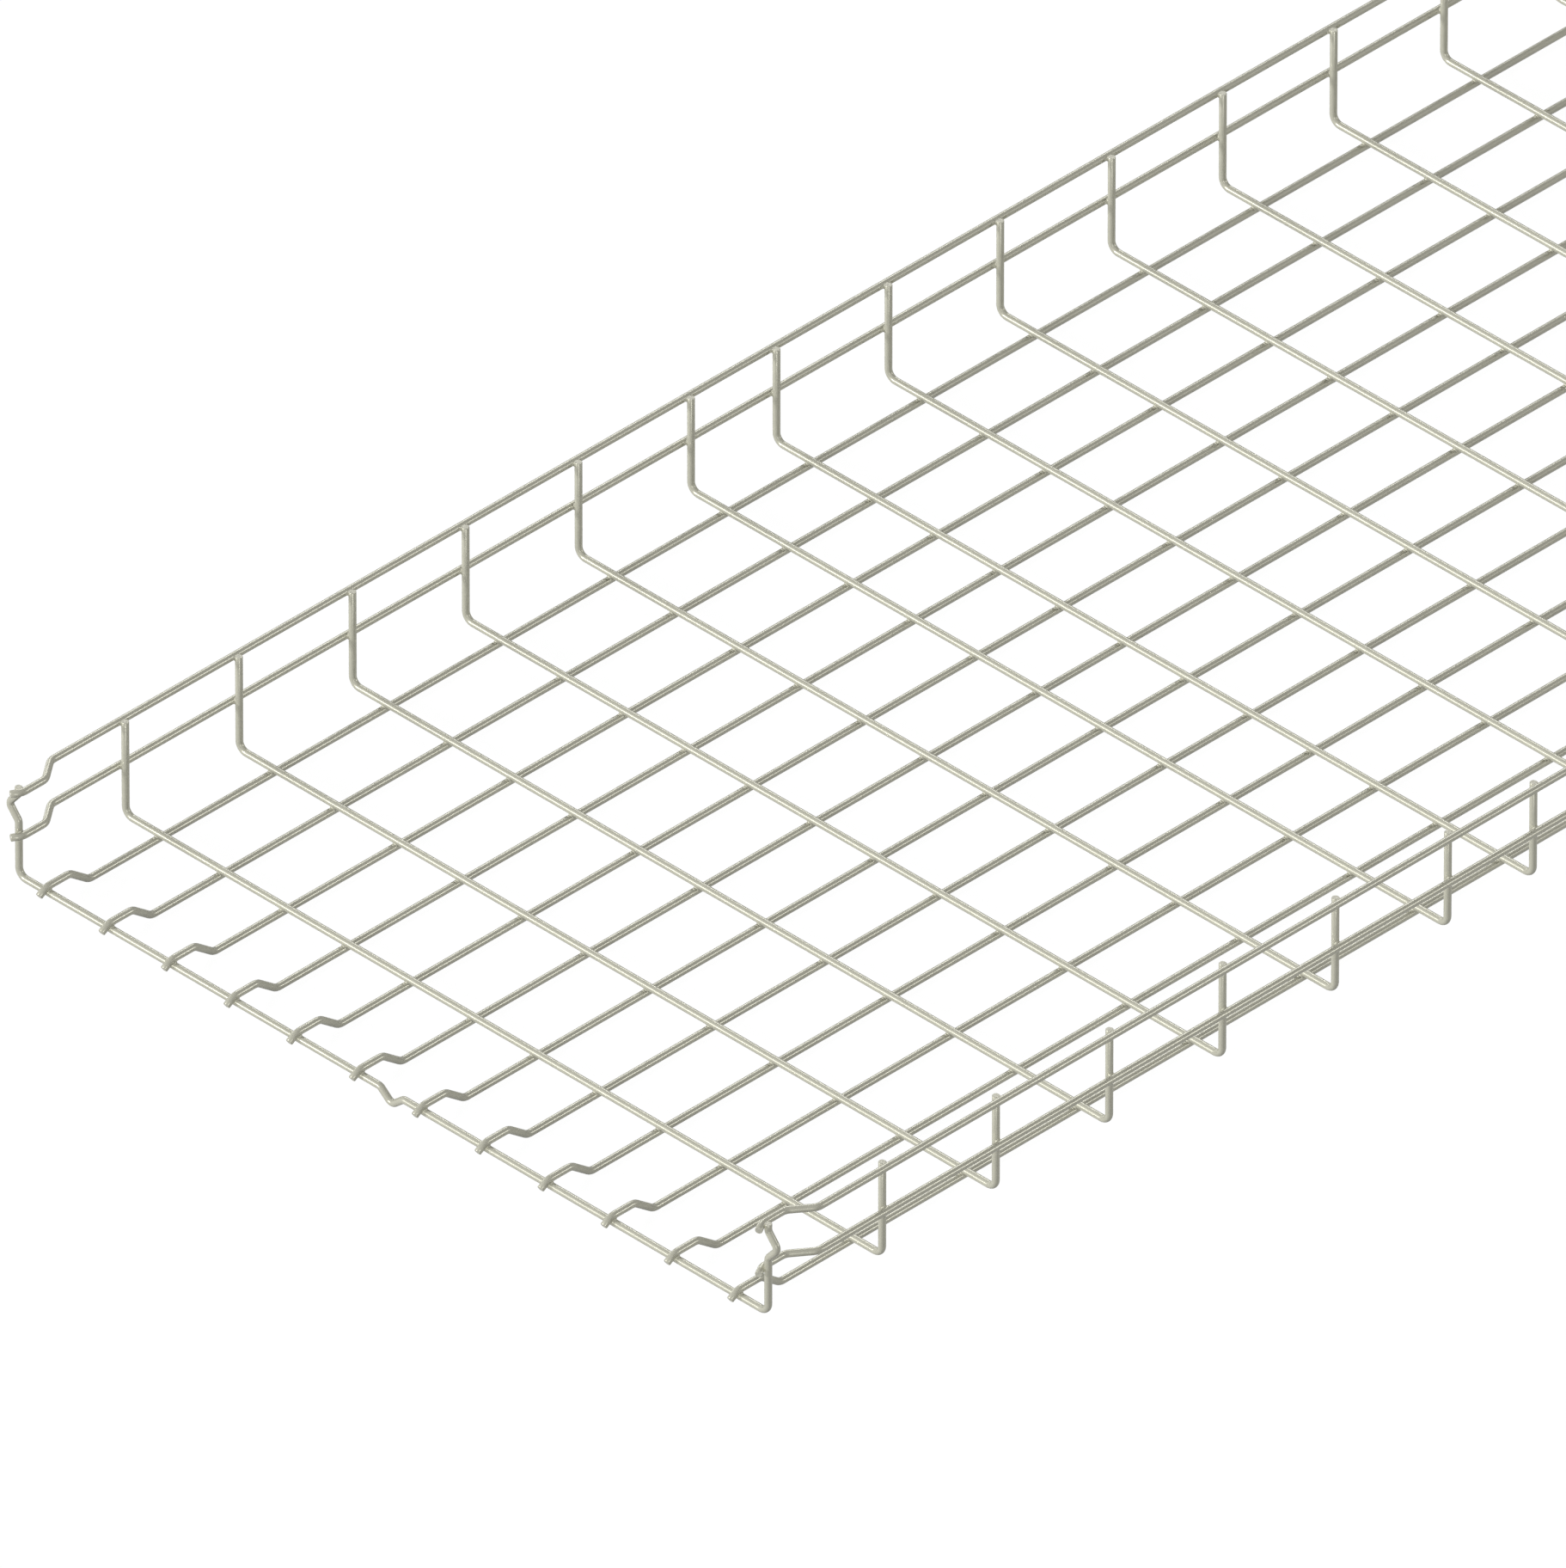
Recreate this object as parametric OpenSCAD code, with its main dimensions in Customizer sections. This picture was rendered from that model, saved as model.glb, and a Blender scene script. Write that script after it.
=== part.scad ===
// Wire mesh cable basket: a U-shaped tray of round wires, welded wherever two of them cross.
// One end snaps into the plain end of the next tray.
// X runs across the tray, Y along it from the snap-in end, Z up from the floor wires' underside.
// The origin is at the middle of the tray's width and length.

/* [Wire] */
// Diameter of every wire
wire_d = 4.5; // [3.6:0.1:5.4]
// Sides of a wire's section, which is as wide from flat to flat as the round wire
wire_sides = 8; // [8, 12]
// Depth that the weld presses two crossing wires into each other
set_down = 0.45; // [0.2:0.05:0.8]

/* [Tray section] */
// Clear width between the side walls
inner_w = 597.5; // [400:0.5:900]
// Height of the uprights' cut tops above the underside
wall_h = 70.2; // [66:0.1:120]
// Radius of the corner bends, on the wire's centreline
corner_r = 6; // [4:0.5:10]
// Spacing of the floor wires that run along the tray
floor_pitch = 50; // [40:1:100]
// Least room between the outermost floor wire and a corner bend
edge_room = 12; // [8:1:20]
// Distance from the uprights' tops down to the upper side wire
rim_drop = 1.5; // [0:0.1:6]
// Spacing of the two wires that run along each side
side_pitch = 30; // [28:0.5:36]

/* [Cross wires] */
// Spacing of the cross wires
cross_pitch = 90; // [60:1:120]
// Distance from the end wire to the first plain cross wire
first_bay = 87; // [75:0.5:120]
// Plain cross wires before the short bay
near_count = 6; // [4:1:12]
// Length of the short bay
short_bay = 68.5; // [40:0.5:100]
// Plain cross wires after the short bay
far_count = 28; // [8:1:50]
// Length of the long wires past the last cross wire
far_stub = 6.3; // [4:0.1:20]

/* [Snap-in end] */
// Distance that the end wire stands inside the line of the plain cross wires
end_inset = 2.9; // [0.5:0.1:5]
// Distance from the end wire to where the long wires leave its inner side
ramp_start = 17.2; // [14:0.1:22]
// Length of the slope that brings the long wires back out
ramp_len = 14.8; // [13:0.1:25]
// Distance past the end wire where the tips turn outward
tip_bend = 0.9; // [0:0.1:2]
// Distance that the middles of the cut tips reach past the end wire
tip_reach = 7.1; // [6:0.1:12]
// Angle that the tips turn outward
tip_angle = 30; // [15:1:40]
// Radius of the bends in the long wires
jog_r = 8; // [4:0.5:10]
// Half the width of each locking kink in the end wire
kink_half = 9.3; // [8:0.1:11]
// Depth of each locking kink, to the sharp corner of its centreline
kink_depth = 7.8; // [5:0.1:8]
// Radius of the kinks' bends
kink_r = 4; // [3:0.5:5]
// Distance from the upper side wire down to the middle of a side kink
kink_drop = 12.8; // [12.5:0.1:15]

/* [Hidden] */

STEP_TURN = 15;    // most that a bent wire turns from one facet to the next, in degrees
ARC_FN = 48;       // smoothness of the plain corner bends
FLOOR_PARTS = 3;   // lengths that the floor mesh is divided into
TIP_MARGIN = 0.15; // least length of a side wire's tip past the end wire or past its own bend
ZINC = [0.70, 0.69, 0.63];

wire_r = wire_d / 2;
section_r = wire_r / cos(180 / wire_sides);  // out to the corners of a wire's section
stack = wire_d - set_down;                   // centre distance of two welded wires

// Heights and half widths of the wires' centrelines
floor_z = wire_r;
cross_z = floor_z + stack;
upright_x = inner_w / 2 + wire_r;
side_x = upright_x + stack;
flat_x = upright_x - corner_r;              // where the floor stretch ends and the bend starts
side_top_z = wall_h - rim_drop;
side_low_z = side_top_z - side_pitch;

// The snap-in end, where the long wires pass over the inner side of the end wire
end_z = cross_z + end_inset;
end_x = upright_x - end_inset;
end_flat_x = end_x - corner_r;
raised_z = end_z + stack;
drawn_in_x = end_x - stack;
kink_z = side_top_z - kink_drop;
ramp_end = ramp_start + ramp_len;
snap_cut = (ramp_end + first_bay) / 2;      // where the snap-in end meets the plain mesh
tip_out = (tip_reach - tip_bend) * tan(tip_angle);
tip_cut = max(wire_r, jog_r * tan(tip_angle / 2) - tip_bend) + TIP_MARGIN;

// The floor wires lie about the middle, as many pairs as fit
floor_pairs = floor((flat_x - edge_room) / floor_pitch + 0.5);
floor_wire_x = [for (i = [0 : 2 * floor_pairs - 1]) (i - floor_pairs + 0.5) * floor_pitch];

// Distances along the tray, measured from the end wire
plain_count = near_count + far_count;
function plain_y(i) = first_bay + i * cross_pitch
                      + (i < near_count ? 0 : short_bay - cross_pitch);
far_end = plain_y(plain_count - 1) + far_stub;
near_tip = -tip_reach - wire_r * sin(tip_angle);
mid_y = (near_tip + far_end) / 2;

// First plain cross wire of a part of the floor, and where that part starts
function part_first(part) = ceil(part * plain_count / FLOOR_PARTS);
function part_start(part) =
    part == 0 ? snap_cut
    : part == FLOOR_PARTS ? far_end
    : (plain_y(part_first(part) - 1) + plain_y(part_first(part))) / 2;

// Direction from one point of a flat path to the next, and the turn at a point between
function heading(a, b) = atan2(b.y - a.y, b.x - a.x);
function turn_at(path, i) =
    let (t = heading(path[i], path[i + 1]) - heading(path[i - 1], path[i]))
    t > 180 ? t - 360 : t < -180 ? t + 360 : t;

// Points that take a path round its corner i on a radius, along the bend's tangents
function bend_points(path, i, radius) =
    let (turn = turn_at(path, i),
         side = sign(turn),
         steps = ceil(abs(turn) / STEP_TURN),
         h = heading(path[i - 1], path[i]),
         start = path[i] - radius * tan(abs(turn) / 2) * [cos(h), sin(h)],
         centre = start + side * radius * [-sin(h), cos(h)],
         reach = radius / cos(turn / steps / 2))
    [for (j = [0 : steps - 1])
        let (a = h - side * 90 + (j + 0.5) * turn / steps)
        centre + reach * [cos(a), sin(a)]];

// A path with its inner corners rounded, each on its own radius
function rounded(path, radii) =
    [path[0],
     for (i = [1 : len(path) - 2]) each bend_points(path, i, radii[i - 1]),
     path[len(path) - 1]];

// Corners of the wire's section where it passes point i of a flat path, on the mitre there
function section_ring(points, i) =
    let (last = len(points) - 1,
         turn = i == 0 || i == last ? 0 : turn_at(points, i),
         h = i == last ? heading(points[i - 1], points[i]) : heading(points[i], points[i + 1]),
         across = h - turn / 2 + 90)
    [for (k = [0 : wire_sides - 1])
        let (a = (k + 0.5) * 360 / wire_sides,
             u = section_r * cos(a) / cos(turn / 2))
        [points[i].x + u * cos(across), points[i].y + u * sin(across), section_r * sin(a)]];

// The section of every wire, with flats facing X and Y
module wire_section() {
    rotate(180 / wire_sides) circle(section_r, $fn = wire_sides);
}

// A straight wire along X, Y or Z from its own start
module wire_along_x(length) {
    rotate([90, 0, 90]) linear_extrude(length) wire_section();
}

module wire_along_y(length) {
    rotate([-90, 0, 0]) linear_extrude(length) wire_section();
}

module wire_along_z(length) {
    linear_extrude(length) wire_section();
}

// A wire bent along a flat path in the XY plane, swept with a mitre at every facet
module bent_wire(path, radii) {
    points = rounded(path, radii);
    last = len(points) - 1;
    n = wire_sides;
    polyhedron(
        points = [for (i = [0 : last]) each section_ring(points, i)],
        faces = [
            [for (k = [0 : n - 1]) k],
            for (i = [0 : last - 1], k = [0 : n - 1])
                [i * n + k, (i + 1) * n + k, (i + 1) * n + (k + 1) % n, i * n + (k + 1) % n],
            [for (k = [n - 1 : -1 : 0]) last * n + k]]);
}

// A quarter bend in the XZ plane, from a wire along the floor at x up to an upright
module corner_bend(x, z) {
    translate([x, 0, z + corner_r]) rotate([90, 0, 0]) rotate(-90)
        rotate_extrude(angle = 90, $fn = ARC_FN) translate([corner_r, 0]) wire_section();
}

// Puts a module that is drawn from the end wire into the tray's own frame
module placed() {
    color(ZINC) translate([0, -mid_y, 0]) children();
}

// A floor wire's end, raised over the end wire and turned down at its tip
module raised_floor_end(x) {
    translate([x, 0, 0]) rotate([90, 0, 90])
        bent_wire([[snap_cut, floor_z], [ramp_end, floor_z], [ramp_start, raised_z],
                   [-tip_bend, raised_z], [-tip_reach, raised_z - tip_out]],
                  [jog_r, jog_r, jog_r]);
}

// The stretch of a right side wire that draws it in, up to its tip
module drawn_in_wire(z) {
    translate([0, 0, z])
        bent_wire([[side_x, snap_cut], [side_x, ramp_end], [drawn_in_x, ramp_start],
                   [drawn_in_x, tip_cut]],
                  [jog_r, jog_r]);
}

// The tip of a right side wire, inside the end wire's upright and turned out past it
module side_wire_tip(z) {
    translate([0, 0, z])
        bent_wire([[drawn_in_x, tip_cut], [drawn_in_x, -tip_bend],
                   [drawn_in_x + tip_out, -tip_reach]],
                  [jog_r]);
}

module snap_in_floor() {
    placed() {
        rotate([90, 0, 0])
            bent_wire([[-end_flat_x, end_z], [-kink_half, end_z], [0, end_z - kink_depth],
                       [kink_half, end_z], [end_flat_x, end_z]],
                      [kink_r, kink_r, kink_r]);
        for (x = floor_wire_x) raised_floor_end(x);
    }
}

module snap_in_right() {
    placed() {
        rotate([90, 0, 0])
            bent_wire([[end_flat_x, end_z], [end_x, end_z], [end_x, kink_z - kink_half],
                       [end_x + kink_depth, kink_z], [end_x, kink_z + kink_half],
                       [end_x, wall_h]],
                      [corner_r, kink_r, kink_r, kink_r]);
        for (z = [side_low_z, side_top_z]) side_wire_tip(z);
    }
}

module snap_in_left() {
    mirror([1, 0, 0]) snap_in_right();
}

module drawn_in_wires_right() {
    placed() for (z = [side_low_z, side_top_z]) drawn_in_wire(z);
}

module drawn_in_wires_left() {
    mirror([1, 0, 0]) drawn_in_wires_right();
}

// One length of the floor mesh: the cross wires' flat stretches on the floor wires
module floor_mesh(part) {
    start = part_start(part);
    placed() {
        for (x = floor_wire_x)
            translate([x, start, floor_z]) wire_along_y(part_start(part + 1) - start);
        for (i = [part_first(part) : part_first(part + 1) - 1])
            translate([-flat_x, plain_y(i), cross_z]) wire_along_x(2 * flat_x);
    }
}

module floor_mesh_near() {
    floor_mesh(0);
}

module floor_mesh_middle() {
    floor_mesh(1);
}

module floor_mesh_far() {
    floor_mesh(2);
}

// The right side wall: the cross wires' bends and uprights inside the two side wires
module right_side_mesh() {
    placed() {
        for (i = [0 : plain_count - 1]) translate([0, plain_y(i), 0]) {
            corner_bend(flat_x, cross_z);
            translate([upright_x, 0, cross_z + corner_r])
                wire_along_z(wall_h - cross_z - corner_r);
        }
        for (z = [side_low_z, side_top_z])
            translate([side_x, snap_cut, z]) wire_along_y(far_end - snap_cut);
    }
}

module left_side_mesh() {
    mirror([1, 0, 0]) right_side_mesh();
}

snap_in_floor();
snap_in_left();
snap_in_right();
drawn_in_wires_left();
drawn_in_wires_right();
floor_mesh_near();
floor_mesh_middle();
floor_mesh_far();
left_side_mesh();
right_side_mesh();
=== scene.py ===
"""Wire mesh cable basket: the looks of one welded tray length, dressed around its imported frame.

Sizes are in metres, in the frame's own axes: X across the tray, Y along it from the snap-in end
to the plain end, Z up from the underside of the floor wires. Every wire is round and is swept
along a path that lies in one plane, with its bends rounded and its ends cut square.
"""

from __future__ import annotations

import logging
import math
import random
from collections.abc import Sequence
from dataclasses import dataclass, field
from enum import Enum

import bpy
from mathutils import Matrix, Vector

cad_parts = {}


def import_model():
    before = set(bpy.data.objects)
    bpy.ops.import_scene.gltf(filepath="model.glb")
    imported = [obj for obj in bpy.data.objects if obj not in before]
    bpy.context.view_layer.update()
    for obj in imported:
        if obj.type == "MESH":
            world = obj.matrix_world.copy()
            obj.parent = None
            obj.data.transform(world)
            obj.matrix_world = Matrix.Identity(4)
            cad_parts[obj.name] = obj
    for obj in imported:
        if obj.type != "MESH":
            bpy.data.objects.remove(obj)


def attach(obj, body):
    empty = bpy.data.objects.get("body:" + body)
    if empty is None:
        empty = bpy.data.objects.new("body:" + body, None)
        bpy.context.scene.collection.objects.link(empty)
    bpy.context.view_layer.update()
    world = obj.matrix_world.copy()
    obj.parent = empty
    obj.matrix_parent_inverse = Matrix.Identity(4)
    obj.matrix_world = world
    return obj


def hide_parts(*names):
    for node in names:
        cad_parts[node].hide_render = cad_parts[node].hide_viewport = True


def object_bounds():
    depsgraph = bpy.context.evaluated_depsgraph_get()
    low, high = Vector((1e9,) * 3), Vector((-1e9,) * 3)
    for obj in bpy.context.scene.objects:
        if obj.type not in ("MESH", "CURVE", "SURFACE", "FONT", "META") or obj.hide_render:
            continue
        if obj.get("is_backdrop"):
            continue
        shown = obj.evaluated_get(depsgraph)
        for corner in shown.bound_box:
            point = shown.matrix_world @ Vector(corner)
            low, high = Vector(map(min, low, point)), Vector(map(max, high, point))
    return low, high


LOG = logging.getLogger("cable_basket")
BODY = "root"

X_AXIS = Vector((1.0, 0.0, 0.0))
Y_AXIS = Vector((0.0, 1.0, 0.0))
Z_AXIS = Vector((0.0, 0.0, 1.0))

QUARTER_TURN = math.pi / 2
WHOLE_RANGE = (0.0, 1.0)

SNAP_IN_NODES = ("snap_in_floor", "snap_in_left", "snap_in_right")
FLOOR_NODES = ("floor_mesh_near", "floor_mesh_middle", "floor_mesh_far")


class Wall(Enum):
    """A side wall of the tray, by the sign of its place on X."""

    LEFT = -1
    RIGHT = 1

    @property
    def title(self) -> str:
        """The wall's name in lower case."""
        return self.name.lower()

    @property
    def mesh_node(self) -> str:
        """The node that holds the wall's plain mesh."""
        return f"{self.title}_side_mesh"

    @property
    def drawn_in_node(self) -> str:
        """The node that holds the drawn-in stretch of the wall's side wires."""
        return f"drawn_in_wires_{self.title}"


class Surface(Enum):
    """The surfaces of a piece of wire, in the order of its material slots."""

    DRAWN = 0
    CUT = 1


# ---------------------------------------------------------------------------
# Finishes
# ---------------------------------------------------------------------------


@dataclass(frozen=True)
class Pattern:
    """A noise: its scale, its finer layers, how strong they are, and the values that it shows."""

    scale: float
    layers: float
    layer_strength: float = 0.5
    shown: tuple[float, float] = WHOLE_RANGE


class NodeSheet:
    """The node tree of one material, with short ways to add and join nodes.

    A mix node has several sockets of the same name, so its colour sockets are taken by number.
    """

    MIX_FACTOR = 0
    MIX_FIRST_COLOUR = 6
    MIX_SECOND_COLOUR = 7
    MIX_COLOUR_RESULT = 2

    def __init__(self, name: str) -> None:
        """Starts an empty material with a shader and an output.

        Args:
            name: The material's name.
        """
        self.material = bpy.data.materials.new(name)
        self.material.use_nodes = True
        self.tree = self.material.node_tree
        self.tree.nodes.clear()
        self.output = self.tree.nodes.new("ShaderNodeOutputMaterial")

    def add(self, kind: str, **settings: object) -> bpy.types.Node:
        """Adds a node and sets its own properties.

        Args:
            kind: The node's type.
            **settings: Properties of the node and their values.

        Returns:
            The new node.
        """
        node = self.tree.nodes.new(kind)
        for name, value in settings.items():
            setattr(node, name, value)
        return node

    def join(self, source: bpy.types.NodeSocket, target: bpy.types.NodeSocket) -> None:
        """Links an output socket to an input socket."""
        self.tree.links.new(source, target)

    def noise(self, vector: bpy.types.NodeSocket, pattern: Pattern) -> bpy.types.NodeSocket:
        """Adds a noise texture.

        Args:
            vector: The coordinates that the noise reads.
            pattern: The noise's scale and layers.

        Returns:
            The socket of the noise's value, from 0 to 1.
        """
        node = self.add("ShaderNodeTexNoise", noise_dimensions="3D")
        node.inputs["Scale"].default_value = pattern.scale
        node.inputs["Detail"].default_value = pattern.layers
        node.inputs["Roughness"].default_value = pattern.layer_strength
        self.join(vector, node.inputs["Vector"])
        return node.outputs["Fac"]

    def stretched(
        self, vector: bpy.types.NodeSocket, stretch: tuple[float, float, float]
    ) -> bpy.types.NodeSocket:
        """Scales coordinates by a factor for each axis.

        Args:
            vector: The coordinates.
            stretch: The factors for the three axes.

        Returns:
            The socket of the scaled coordinates.
        """
        node = self.add("ShaderNodeMapping")
        node.inputs["Scale"].default_value = stretch
        self.join(vector, node.inputs["Vector"])
        return node.outputs["Vector"]

    def ranged(
        self, value: bpy.types.NodeSocket, result: tuple[float, float],
        shown: tuple[float, float] = WHOLE_RANGE,
    ) -> bpy.types.NodeSocket:
        """Maps the shown stretch of a value onto a range of results.

        Args:
            value: The value.
            result: The results at the two ends of the stretch.
            shown: The stretch of the value that is mapped.

        Returns:
            The socket of the result, held between the two ends.
        """
        node = self.add("ShaderNodeMapRange")
        node.inputs["From Min"].default_value = shown[0]
        node.inputs["From Max"].default_value = shown[1]
        node.inputs["To Min"].default_value = result[0]
        node.inputs["To Max"].default_value = result[1]
        self.join(value, node.inputs["Value"])
        return node.outputs["Result"]

    def blended(
        self, factor: bpy.types.NodeSocket,
        first: tuple[float, float, float], second: tuple[float, float, float],
    ) -> bpy.types.NodeSocket:
        """Mixes two colours by a value.

        Args:
            factor: The share of the second colour.
            first: The colour at 0.
            second: The colour at 1.

        Returns:
            The socket of the mixed colour.
        """
        node = self.add("ShaderNodeMix", data_type="RGBA")
        node.inputs[self.MIX_FIRST_COLOUR].default_value = (*first, 1.0)
        node.inputs[self.MIX_SECOND_COLOUR].default_value = (*second, 1.0)
        self.join(factor, node.inputs[self.MIX_FACTOR])
        return node.outputs[self.MIX_COLOUR_RESULT]

    def bumped(
        self, height: bpy.types.NodeSocket, depth: float, strength: float = 1.0,
        under: bpy.types.NodeSocket | None = None,
    ) -> bpy.types.NodeSocket:
        """Turns a height into a bent normal.

        Args:
            height: The height, from 0 to 1.
            depth: How far the surface rises at a height of 1.
            strength: The share of the bump that shows.
            under: The normal of a bump that lies below this one.

        Returns:
            The socket of the normal.
        """
        node = self.add("ShaderNodeBump")
        node.inputs["Distance"].default_value = depth
        node.inputs["Strength"].default_value = strength
        self.join(height, node.inputs["Height"])
        if under is not None:
            self.join(under, node.inputs["Normal"])
        return node.outputs["Normal"]

    def metal_shader(self, metallic: float, specular: float) -> bpy.types.Node:
        """Adds the principled shader of a metal surface and puts it on the output.

        Args:
            metallic: How metallic the surface is.
            specular: The level of the plain gloss on it.

        Returns:
            The shader node.
        """
        shader = self.add("ShaderNodeBsdfPrincipled")
        shader.inputs["Metallic"].default_value = metallic
        shader.inputs["Specular IOR Level"].default_value = specular
        self.join(shader.outputs["BSDF"], self.output.inputs["Surface"])
        return shader


@dataclass(frozen=True)
class GalvanisedFinish:
    """Zinc coated drawn wire: satin, warm grey, with drawing lines and a faint mottle.

    The edge tint darkens what the metal mirrors at a grazing angle, and the lines' pattern is
    stretched to their own length and pitch.
    """

    light_zinc: tuple[float, float, float] = (0.575, 0.568, 0.472)
    dark_zinc: tuple[float, float, float] = (0.540, 0.533, 0.442)
    metallic: float = 0.20
    specular: float = 0.40
    edge_tint: float = 0.15
    satin: tuple[float, float] = (0.28, 0.30)
    mottle: Pattern = Pattern(160.0, 4.0, 0.55, (0.32, 0.68))
    lines: Pattern = Pattern(1.0, 2.0)
    line_pitch: float = 0.00022
    line_length: float = 0.030
    line_depth: float = 0.0000008
    grain: Pattern = Pattern(1400.0, 3.0, shown=(0.3, 0.7))
    grain_depth: float = 0.0000004

    def material(self) -> bpy.types.Material:
        """Builds the finish.

        Returns:
            The material of drawn, zinc coated wire.
        """
        sheet = NodeSheet("galvanised_wire")
        place = sheet.add("ShaderNodeTexCoord").outputs["Object"]
        skin = sheet.add("ShaderNodeUVMap", uv_map="wire_skin").outputs["UV"]
        shader = sheet.metal_shader(self.metallic, self.specular)
        tint = self.edge_tint
        shader.inputs["Specular Tint"].default_value = (tint, tint, tint, 1.0)
        mottle = sheet.noise(place, self.mottle)
        tone = sheet.ranged(mottle, WHOLE_RANGE, self.mottle.shown)
        colour = sheet.blended(tone, self.dark_zinc, self.light_zinc)
        sheet.join(colour, shader.inputs["Base Color"])
        stretch = (1.0 / self.line_length, 1.0 / self.line_pitch, 1.0)
        lines = sheet.noise(sheet.stretched(skin, stretch), self.lines)
        grain = sheet.noise(place, self.grain)
        gloss = sheet.ranged(grain, self.satin, self.grain.shown)
        sheet.join(gloss, shader.inputs["Roughness"])
        drawn = sheet.bumped(lines, self.line_depth)
        coated = sheet.bumped(grain, self.grain_depth, under=drawn)
        sheet.join(coated, shader.inputs["Normal"])
        return sheet.material


@dataclass(frozen=True)
class CutEndFinish:
    """A sheared wire end: a burnished lip, a torn middle and a thin zinc coat over both."""

    burnished: tuple[float, float, float] = (0.580, 0.572, 0.480)
    torn: tuple[float, float, float] = (0.440, 0.433, 0.370)
    metallic: float = 0.30
    specular: float = 0.35
    gloss: tuple[float, float] = (0.62, 0.40)
    tear: Pattern = Pattern(900.0, 5.0, 0.65, (0.40, 0.62))
    tear_depth: float = 0.00005
    tear_strength: float = 0.8

    def material(self) -> bpy.types.Material:
        """Builds the finish.

        Returns:
            The material of a cut wire end.
        """
        sheet = NodeSheet("cut_wire_end")
        place = sheet.add("ShaderNodeTexCoord").outputs["Object"]
        shader = sheet.metal_shader(self.metallic, self.specular)
        tear = sheet.noise(place, self.tear)
        tone = sheet.ranged(tear, WHOLE_RANGE, self.tear.shown)
        colour = sheet.blended(tone, self.torn, self.burnished)
        sheet.join(colour, shader.inputs["Base Color"])
        sheet.join(sheet.ranged(tear, self.gloss), shader.inputs["Roughness"])
        uneven = sheet.bumped(tear, self.tear_depth, self.tear_strength)
        sheet.join(uneven, shader.inputs["Normal"])
        return sheet.material


@dataclass(frozen=True)
class WeldFinish:
    """The squeezed-out rim of a spot weld under its zinc: duller and rougher than the wire."""

    coated: tuple[float, float, float] = (0.580, 0.572, 0.470)
    scorched: tuple[float, float, float] = (0.450, 0.443, 0.365)
    metallic: float = 0.20
    specular: float = 0.40
    gloss: tuple[float, float] = (0.60, 0.42)
    scorch: Pattern = Pattern(520.0, 4.0, 0.60, (0.36, 0.60))
    pits: Pattern = Pattern(1900.0, 3.0)
    pit_depth: float = 0.00002
    pit_strength: float = 0.7

    def material(self) -> bpy.types.Material:
        """Builds the finish.

        Returns:
            The material of a weld.
        """
        sheet = NodeSheet("spot_weld")
        place = sheet.add("ShaderNodeTexCoord").outputs["Object"]
        shader = sheet.metal_shader(self.metallic, self.specular)
        scorch = sheet.noise(place, self.scorch)
        tone = sheet.ranged(scorch, WHOLE_RANGE, self.scorch.shown)
        colour = sheet.blended(tone, self.scorched, self.coated)
        sheet.join(colour, shader.inputs["Base Color"])
        sheet.join(sheet.ranged(scorch, self.gloss), shader.inputs["Roughness"])
        pits = sheet.noise(place, self.pits)
        uneven = sheet.bumped(pits, self.pit_depth, self.pit_strength)
        sheet.join(uneven, shader.inputs["Normal"])
        return sheet.material


@dataclass(frozen=True)
class BackdropFinish:
    """The plain studio floor, white to the eye, with only a trace of the tray's shadow on it.

    The glow makes it white, and the paint takes the little that the lamps add or the tray shades.
    """

    paint: float = 0.15
    glow: float = 0.93

    def material(self) -> bpy.types.Material:
        """Builds the finish.

        Returns:
            The material of the studio floor.
        """
        sheet = NodeSheet("studio_floor")
        diffuse = sheet.add("ShaderNodeBsdfDiffuse")
        diffuse.inputs["Color"].default_value = (self.paint, self.paint, self.paint, 1.0)
        glow = sheet.add("ShaderNodeEmission")
        level = sheet.ranged(seen_or_mirrored(sheet.tree), (0.0, self.glow))
        sheet.join(level, glow.inputs["Strength"])
        both = sheet.add("ShaderNodeAddShader")
        sheet.join(diffuse.outputs["BSDF"], both.inputs[0])
        sheet.join(glow.outputs["Emission"], both.inputs[1])
        sheet.join(both.outputs["Shader"], sheet.output.inputs["Surface"])
        return sheet.material


def seen_or_mirrored(tree: bpy.types.NodeTree) -> bpy.types.NodeSocket:
    """Adds nodes that tell rays that see the background from rays that light the object.

    Args:
        tree: The node tree of a material or the world.

    Returns:
        A socket that is 1 for camera, glossy and transmission rays, and 0 for others.
    """
    path = tree.nodes.new("ShaderNodeLightPath")
    total = path.outputs["Is Camera Ray"]
    for name in ("Is Glossy Ray", "Is Transmission Ray"):
        either = tree.nodes.new("ShaderNodeMath")
        either.operation = "MAXIMUM"
        tree.links.new(total, either.inputs[0])
        tree.links.new(path.outputs[name], either.inputs[1])
        total = either.outputs["Value"]
    return total


@dataclass
class Finishes:
    """The materials of the tray, each built once."""

    wire: bpy.types.Material = field(default_factory=lambda: GalvanisedFinish().material())
    cut: bpy.types.Material = field(default_factory=lambda: CutEndFinish().material())
    weld: bpy.types.Material = field(default_factory=lambda: WeldFinish().material())


# ---------------------------------------------------------------------------
# Wire
# ---------------------------------------------------------------------------


@dataclass(frozen=True)
class Plane:
    """The plane that a wire is bent in."""

    origin: Vector
    across: Vector
    up: Vector

    @property
    def normal(self) -> Vector:
        """The direction square to the plane."""
        return self.across.cross(self.up)

    def point(self, u: float, v: float) -> Vector:
        """The point of space at a place in the plane."""
        return self.origin + u * self.across + v * self.up


@dataclass(frozen=True)
class Station:
    """One ring of a swept wire: where it is, which way the wire runs, and how thick it is."""

    u: float
    v: float
    heading: float
    along: float
    radius: float


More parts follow.
